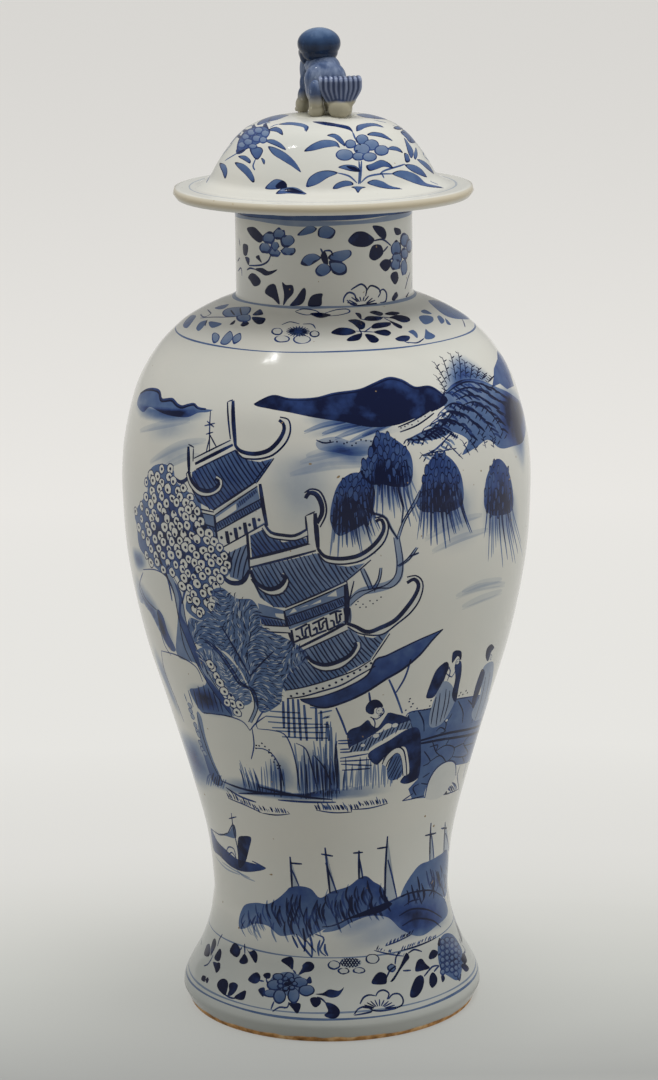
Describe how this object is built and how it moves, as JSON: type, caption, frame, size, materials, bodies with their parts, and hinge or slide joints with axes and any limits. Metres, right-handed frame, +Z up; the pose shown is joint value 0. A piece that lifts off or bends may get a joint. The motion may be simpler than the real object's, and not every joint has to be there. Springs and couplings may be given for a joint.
{
  "type": "porcelain lidded urn",
  "caption": "Blue-and-white porcelain baluster vase with a domed, flanged cover that lifts off by its seated-lion finial.",
  "frame": {"origin": "on the floor, in the middle of the foot ring", "axes": "+Z up along the vase's axis, -Y towards the painted pavilion side, +X to its right"},
  "size_m": [0.173, 0.173, 0.42],
  "materials": {
    "glazed_porcelain": "glossy bluish-white glaze painted in cobalt blue",
    "bare_porcelain": "unglazed, slightly warm white",
    "blue_glaze": "glossy, washed all over in cobalt blue",
    "pale_glaze": "glossy pale glaze, thin over the body"
  },
  "bodies": {
    "vase": {"foot_section": "glazed_porcelain", "lower_body": "glazed_porcelain", "upper_body": "glazed_porcelain", "neck": "glazed_porcelain"},
    "cover": {"cover_dome": "glazed_porcelain", "cover_sleeve": "bare_porcelain", "finial_plinth": "pale_glaze", "lion_torso": "blue_glaze", "lion_mane": "blue_glaze", "lion_face": "blue_glaze", "lion_foreleg_left": "pale_glaze", "lion_foreleg_right": "pale_glaze", "lion_hindleg_left": "pale_glaze", "lion_hindleg_right": "pale_glaze", "lion_tail": "blue_glaze"}
  },
  "joints": [
    {"name": "cover_lift", "type": "slide", "parent": "vase", "child": "cover", "axis": [0, 0, 1], "range_m": [0, 0.08]}
  ]
}
